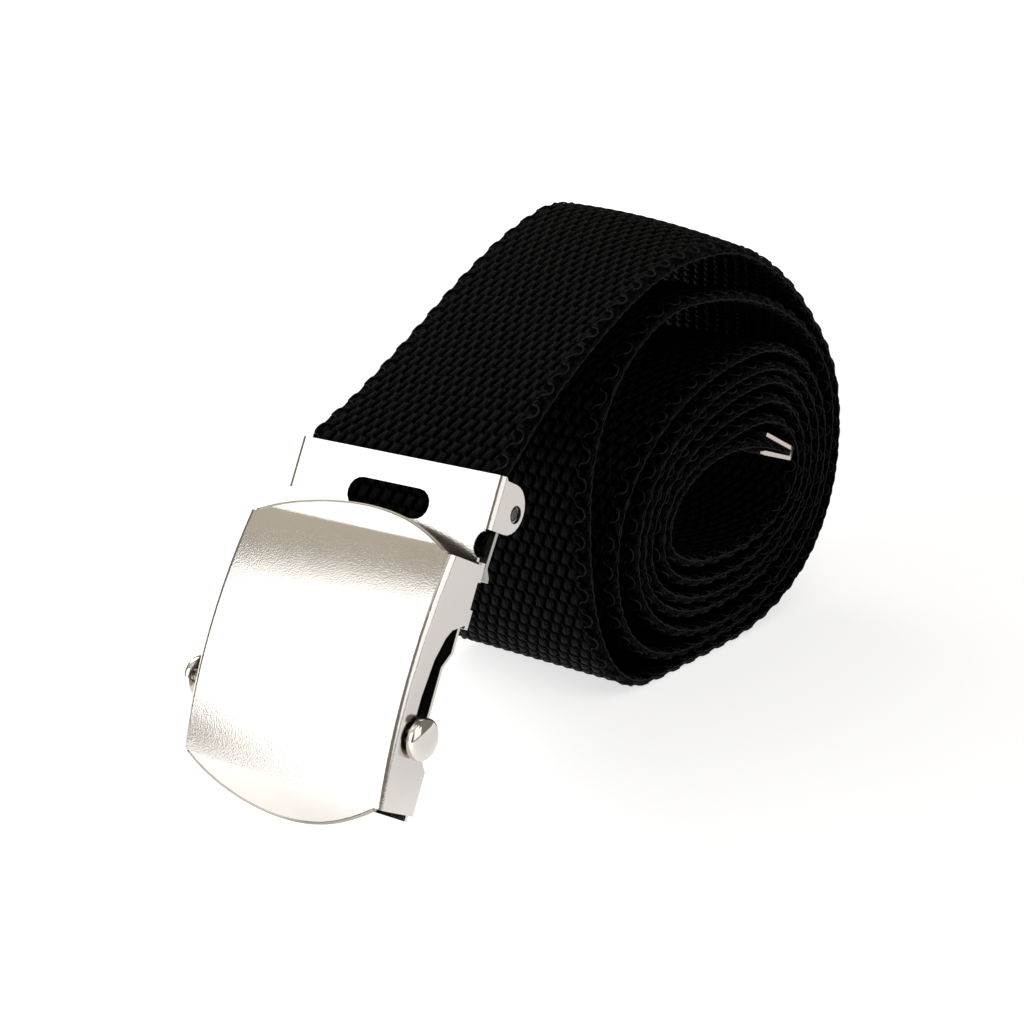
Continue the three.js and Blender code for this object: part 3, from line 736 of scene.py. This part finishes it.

# %% [markdown]
# ## Rims of the two lips
# The cut edge of each lip shows in the photo as a thin warm line, darker than the plating.
# It could be a narrow face of the pressing with a finish of its own, but the cut edge of
# the copy is faceted. A tube on a worked-out path, like the threads, follows the lip's
# curve in plan and its drop at the side smoothly. Its darker, warmer colour is a painted
# darker reflection.

# %% Rims along the lips
COVER_BOW = 2.1
TOP_LIP = 4.7
LIP_INSET = 1.6
SIDE_ROOM = 0.55
HALF_BUCKLE = HALF_BELT + SIDE_ROOM + SHEET
RIM_RADIUS = 0.34


def face_height(v):
    """Height of the cover's face above the plate, out over both lips."""
    half = COVER_LENGTH / 2
    if 0 <= v <= COVER_LENGTH:
        return COVER_DEPTH + COVER_BOW * (1 - ((v - half) / half) ** 2)
    past, reach = (-v, LIP_REACH) if v < 0 else (v - COVER_LENGTH, TOP_LIP)
    slope = 2 * COVER_BOW / half
    return COVER_DEPTH - slope * past - (LIP_DROP - slope * reach) * (past / reach) ** 2


def lip_rim(name, at, away, reach):
    half = HALF_BUCKLE - LIP_INSET
    radius = (half**2 + reach**2) / (2 * reach)
    sweep = math.asin(half / radius)
    path = []
    for turn in np.linspace(-sweep, sweep, 61):
        past = max(reach - radius + radius * math.cos(turn), 0)
        v = at + away * past
        y, z = stand(v, face_height(v) - RIM_RADIUS * 0.8)
        path.append((radius * math.sin(turn), y, z))
    return tube(name, np.array(path) + np.array(SHIFT), RIM_RADIUS, 10)


rims = [lip_rim("top_lip_rim", COVER_LENGTH, 1, TOP_LIP)]
rims.append(lip_rim("bottom_lip_rim", 0, -1, LIP_REACH))

# %% [markdown]
# ## Writing materials as sums
# A material is a small web of nodes. Wiring it by hand takes many lines, so one class
# wraps an output and lets plus, minus and times add Math nodes. Any other node comes from
# one method, which sets the node's settings first and then its sockets.


# %% Helpers for materials
class Wire:
    def __init__(self, finish, socket):
        self.finish = finish
        self.socket = socket

    def maths(self, operation, *values):
        sockets = dict(enumerate(values))
        return self.finish.node("ShaderNodeMath", {"operation": operation}, sockets)

    def __add__(self, other):
        return self.maths("ADD", self, other)

    def __radd__(self, other):
        return self.maths("ADD", other, self)

    def __sub__(self, other):
        return self.maths("SUBTRACT", self, other)

    def __rsub__(self, other):
        return self.maths("SUBTRACT", other, self)

    def __mul__(self, other):
        return self.maths("MULTIPLY", self, other)

    def __rmul__(self, other):
        return self.maths("MULTIPLY", other, self)

    def __pow__(self, other):
        return self.maths("POWER", self, other)

    def sine(self):
        return self.maths("SINE", self)

    def floor(self):
        return self.maths("FLOOR", self)

    def fraction(self):
        return self.maths("FRACT", self)

    def size(self):
        return self.maths("ABSOLUTE", self)

    def between(self, low, high):
        """0 at low and below, 1 at high and above, smooth in between."""
        settings = {"interpolation_type": "SMOOTHSTEP"}
        sockets = {"Value": self, "From Min": low, "From Max": high}
        return self.finish.node("ShaderNodeMapRange", settings, sockets)


class Finish:
    def __init__(self, name):
        self.material = bpy.data.materials.new(name)
        self.material.use_nodes = True
        self.tree = self.material.node_tree
        self.tree.nodes.clear()

    def node(self, kind, settings=None, sockets=None, output=0):
        made = self.tree.nodes.new(kind)
        for key, value in (settings or {}).items():
            setattr(made, key, value)
        for key, value in (sockets or {}).items():
            if isinstance(value, Wire):
                self.tree.links.new(value.socket, made.inputs[key])
            else:
                made.inputs[key].default_value = value
        return Wire(self, made.outputs[output])

    def stored(self, name):
        settings = {"attribute_name": name}
        return self.node("ShaderNodeAttribute", settings, output="Fac")

    def mixed(self, share, first, second):
        sockets = {0: share, 6: (*first, 1), 7: (*second, 1)}
        return self.node("ShaderNodeMix", {"data_type": "RGBA"}, sockets, output=2)

    def noise(self, scale, detail=2.0):
        place = self.node("ShaderNodeTexCoord", output="Object")
        sockets = {"Vector": place, "Scale": scale, "Detail": detail}
        return self.node("ShaderNodeTexNoise", None, sockets)

    def bump(self, height, strength, distance):
        sockets = {"Height": height, "Strength": strength, "Distance": distance}
        return self.node("ShaderNodeBump", None, sockets)

    def close(self, sockets):
        shader = self.node("ShaderNodeBsdfPrincipled", None, sockets)
        end = self.tree.nodes.new("ShaderNodeOutputMaterial")
        self.tree.links.new(shader.socket, end.inputs["Surface"])
        return self.material


# %% [markdown]
# ## Black nylon
# Nylon yarn is dyed almost black but has a soft gloss, so blocks shine faintly on top and
# vanish in the gaps. With one even colour the gaps would turn grey under this much white
# light. So light and shade are painted into the colour: the stored height says how much of
# the face is painted as lit, and the gaps and grooves get painted shade, where the rest
# counts as a metal with no colour, which mirrors nothing and stays black. Fine lines that
# lean with the blocks stand for the separate yarns. Noise paints small glints into the
# colour, brighter on the edges, breaks the edges into knobs, and keeps the rows from
# looking printed.


# %% The nylon of the weave
def nylon_weave():
    finish = Finish("black_nylon_weave")
    uneven = finish.noise(420, 1) - 0.5
    column = finish.stored("block_column") + 0.3 * uneven
    row = finish.stored("block_row")
    height = finish.stored("block_height")
    odd = (row.floor() * 0.5).fraction()
    beside = ((column + odd).fraction() * 2 - 1).size()
    ahead = (row.fraction() * 2 - 1).size()
    edge_column = SELVAGE_FROM / BLOCK_WIDE
    woven = 1 - column.size().between(edge_column, edge_column + 0.4)
    gap = beside.between(0.5, 0.95) * woven
    groove = ahead.between(0.6, 1.0) * woven * 0.3
    selvage = 1 - woven
    knobs = finish.noise(1300, 1).between(0.42, 0.58)
    shown = woven + selvage * (0.15 + 0.85 * knobs)
    # Painted light and shade: lit is high on block tops and falls to 0 in the gaps and grooves,
    # which get painted shade.
    lit = height.between(0.2, 0.95) * (1 - gap) * (1 - groove) * shown
    worn = finish.noise(900)
    fuzz = finish.noise(3400, 3)
    # Painted glints: noise brightens small specks of the lit colour, more on the edge knobs.
    painted_glint = (0.15 + 2.6 * fuzz.between(0.45, 0.72)) * (0.5 + 0.8 * worn) * (1 + 1.6 * selvage)
    # The colour runs from black in the painted shade to dark grey on the painted lit tops.
    colour = finish.mixed(lit * painted_glint, (0.0001, 0.0001, 0.0001), (0.0026, 0.0026, 0.0027))
    yarns = ((column * 3.0 + row * 1.3) * 2 * math.pi).sine() * woven
    block = (1 - beside**2) * (1 - 0.7 * ahead**2) * woven
    relief = finish.bump(block * 2.6 + yarns * 0.5 + selvage * knobs * 3 + fuzz * 1.6, 0.9, 0.0001)
    return finish.close(
        {
            "Base Color": colour,
            # Metallic 1 in the painted shade, with black colour, keeps the gaps black.
            "Metallic": 1 - lit,
            "Roughness": 0.9 - 0.36 * lit,
            "Specular IOR Level": 0.04,
            "Normal": relief,
        }
    )


def nylon_thread():
    finish = Finish("black_nylon_thread")
    worn = finish.noise(900)
    colour = finish.mixed(worn.between(0.3, 0.7), (0.0004, 0.0004, 0.0004), (0.008, 0.008, 0.0085))
    fuzz = finish.noise(5200, 3)
    return finish.close(
        {
            "Base Color": colour,
            "Roughness": 0.5 + 0.15 * worn,
            "Specular IOR Level": 0.1,
            "Normal": finish.bump(fuzz, 0.5, 0.00006),
        }
    )


weave_finish = nylon_weave()
thread_finish = nylon_thread()

# %% [markdown]
# ## Nickel plating
# The cover and the plate are steel sheet with satin nickel: bright, slightly warm, and
# finely pebbled, so that reflections are blurred and grainy. Clean chrome would mirror
# the room, and plain grey paint would lose the bright and dark bands. The plating is a
# metal with a fine bump, whose roughness varies in soft patches. The same function, with
# other numbers, makes the polished bar, the dull lever, the pin, painted near black as
# painted shade for its hollow end, and the lip rims, painted darker and warmer as a
# painted darker reflection along the cut edges.


# %% Plated and bare metal
def metal(name, light, dark, rough, pebble, grain):
    finish = Finish(name)
    patch = finish.noise(55, 3)
    fine = finish.noise(grain, 2)
    speck = finish.noise(grain * 2.7, 2)
    colour = finish.mixed(patch.between(0.3, 0.75), light, dark)
    relief = finish.bump(fine * 0.85 + speck * 0.15, pebble, 0.00003)
    return finish.close(
        {
            "Base Color": colour,
            "Metallic": 1.0,
            "Roughness": rough + 0.05 * patch,
            "Normal": relief,
        }
    )


satin = metal("satin_nickel", (0.65, 0.62, 0.59), (0.61, 0.58, 0.55), 0.09, 0.62, 4000)
polished = metal("polished_nickel", (0.7, 0.67, 0.64), (0.64, 0.61, 0.58), 0.08, 0.25, 700)
dull_steel = metal("dull_steel", (0.5, 0.49, 0.475), (0.36, 0.35, 0.335), 0.3, 0.5, 1200)
# Pin: near-black steel, a painted shade standing for its dark hollow end.
pin_painted_shade_steel = metal("pin_steel_painted_hole_shade", (0.1, 0.095, 0.09), (0.05, 0.048, 0.045), 0.16, 0.4, 1500)
# Lip rims: darker, warmer steel, a painted darker reflection along the cut edges.
rim_painted_reflection = metal("lip_rim_steel_painted_reflection", (0.36, 0.33, 0.28), (0.27, 0.25, 0.21), 0.25, 0.5, 1500)


def tip_metal():
    """Warm steel that darkens towards the closed end of the fold, which lies in shadow."""
    finish = Finish("tip_steel")
    place = finish.node("ShaderNodeTexCoord", output="Object")
    right = finish.node("ShaderNodeSeparateXYZ", None, {"Vector": place})
    back = finish.node("ShaderNodeSeparateXYZ", None, {"Vector": place}, output="Y")
    folded = (back + math.tan(ROLL_YAW) * right).between(0.0512, 0.0519)
    worn = finish.noise(300, 3)
    colour = finish.mixed(folded, (0.56, 0.5, 0.46), (0.012, 0.011, 0.01))
    return finish.close(
        {
            "Base Color": colour,
            "Metallic": 1.0,
            "Roughness": 0.2 + 0.15 * worn + 0.3 * folded,
            "Normal": finish.bump(finish.noise(1300, 2), 0.5, 0.00003),
        }
    )


tip_steel = tip_metal()


# %% Give every piece its finish and its body, and hide the solid it stands for
def dress(piece, finish, body, node):
    piece.data.materials.clear()
    piece.data.materials.append(finish)
    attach(piece, body)
    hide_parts(node)


for piece in strap_pieces:
    dress(piece, weave_finish, "belt", "webbing")
for piece in edge_pieces:
    dress(piece, thread_finish, "belt", "webbing")
dress(cover, satin, "belt", "buckle_cover")
for piece in rims:
    dress(piece, rim_painted_reflection, "belt", "buckle_cover")
dress(plate, satin, "belt", "frame_plate")
dress(bar, polished, "bar", "lock_bar")
dress(lever, dull_steel, "lever", "clamp_lever")
dress(pin, pin_painted_shade_steel, "belt", "hinge_pin")
dress(tip, tip_steel, "belt", "belt_tip")
print("dressed", len(strap_pieces) + len(edge_pieces) + len(rims) + 6, "pieces")

# %% [markdown]
# ## Floor and light
# The product stands on white, with hardly a shadow. Lights strong enough to make a white
# floor that bright would burn out the plating, so the floor glows a little by itself, as
# a table lit from below does. It glows less at the right, which the side wall mirrors.
# Metal shows what is around it, so each light is placed for what mirrors it. A round one
# low at the front left fills the cover's face and a small low panel fills its foot. A dim
# warm one above them gives the taupe band near the top of the cover, and one at the back
# left fills the top lip. The panels on the right light the side of the buckle.

# %% Floor
bpy.ops.object.select_all(action="DESELECT")
bpy.ops.mesh.primitive_plane_add(size=30, location=(0, 0, -0.0002))
floor = bpy.context.object
floor.name = "studio_floor"
floor_finish = Finish("white_floor")
floor_shade = floor_finish.noise(6)
floor_colour = floor_finish.mixed(floor_shade, (0.38, 0.38, 0.38), (0.4, 0.4, 0.4))
place = floor_finish.node("ShaderNodeTexCoord", output="Object")
to_right = floor_finish.node("ShaderNodeSeparateXYZ", None, {"Vector": place})
to_back = floor_finish.node("ShaderNodeSeparateXYZ", None, {"Vector": place}, output="Y")
front_left = (-1 * (to_right + to_back)).between(-0.02, 0.12)
far_back = to_back.between(0.15, 0.6)
share = front_left + far_back - front_left * far_back
floor_glow = floor_finish.mixed(share, (0.53, 0.53, 0.53), (1.0, 1.0, 1.0))
floor_sockets = {"Base Color": floor_colour, "Roughness": 0.7, "Specular IOR Level": 0.2}
floor_sockets.update({"Emission Color": floor_glow, "Emission Strength": 1.3})
floor.data.materials.append(floor_finish.close(floor_sockets))

# %% Room light and panels
world = bpy.data.worlds.new("studio_room")
world.use_nodes = True
world.node_tree.nodes["Background"].inputs["Color"].default_value = (1.0, 0.93, 0.8, 1)
world.node_tree.nodes["Background"].inputs["Strength"].default_value = 0.25
bpy.context.scene.world = world
AIM = Vector((0, -0.062, 0.022))


def towards(round_deg, up_deg):
    """The way to a light; round_deg turns from +Y towards +X, up_deg is above the horizon."""
    turn, up = math.radians(round_deg), math.radians(up_deg)
    return Vector((math.sin(turn) * math.cos(up), math.cos(turn) * math.cos(up), math.sin(up)))


def panel(name, round_deg, up_deg, distance, wide, high, glow, shape="RECTANGLE"):
    way = towards(round_deg, up_deg)
    bpy.ops.object.light_add(type="AREA", location=AIM + way * distance)
    light = bpy.context.object
    light.name = name
    light.rotation_euler = way.to_track_quat("Z", "Y").to_euler()
    light.data.shape = shape
    light.data.size = wide
    light.data.size_y = high
    light.data.energy = glow * math.pi * wide * high
    return light


# name, degrees round, degrees up, distance, width and height in metres, glow
panel("front_left_disc", 210, 23.7, 1.0, 0.73, 0.73, 1.65, "ELLIPSE")
panel("front_low_panel", 204, 3.5, 0.5, 0.262, 0.09, 1.6)
warm = panel("warm_disc", 243.5, 45.5, 1.0, 0.46, 0.46, 0.33, "ELLIPSE")
warm.data.color = (1.0, 0.92, 0.76)
panel("right_panel", 108, 25, 1.1, 1.3, 0.8, 1.3)
panel("right_high_panel", 122, 56, 1.0, 0.6, 0.6, 2.4)
panel("back_left_disc", 291, 48, 1.0, 0.76, 0.76, 1.55, "ELLIPSE")
ceiling_way = towards(185, 66)
bpy.ops.object.light_add(type="SUN", location=AIM + ceiling_way)
sun = bpy.context.object
sun.name = "ceiling_light"
sun.rotation_euler = ceiling_way.to_track_quat("Z", "Y").to_euler()
sun.data.energy = 0.3
sun.data.angle = math.radians(50)
bpy.context.scene.view_settings.view_transform = "Standard"
bpy.context.scene.view_settings.look = "None"
